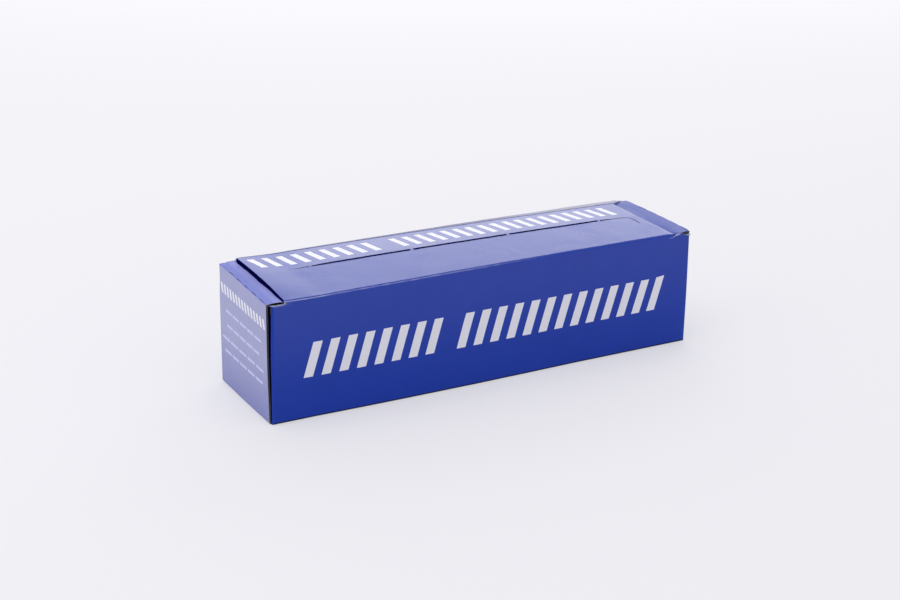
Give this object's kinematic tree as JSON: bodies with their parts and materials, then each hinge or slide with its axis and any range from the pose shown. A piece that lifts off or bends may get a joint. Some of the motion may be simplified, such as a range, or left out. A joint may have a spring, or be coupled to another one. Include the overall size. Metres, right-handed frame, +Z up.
{
  "type": "boxed aluminium foil roll",
  "caption": "Closed blue corrugated dispenser carton for a 30 cm catering foil roll, with a nicked tear line and turned-over end strips.",
  "frame": {"origin": "bottom face, midway along the carton and midway between its front and back faces", "axes": "+X along the carton to its right end, -Y out of the printed front face, +Z up through the lid"},
  "size_m": [0.314, 0.08, 0.0824],
  "materials": {
    "printed_board": "satin"
  },
  "bodies": {
    "root": {"foil_carton": "printed_board"}
  },
  "joints": []
}
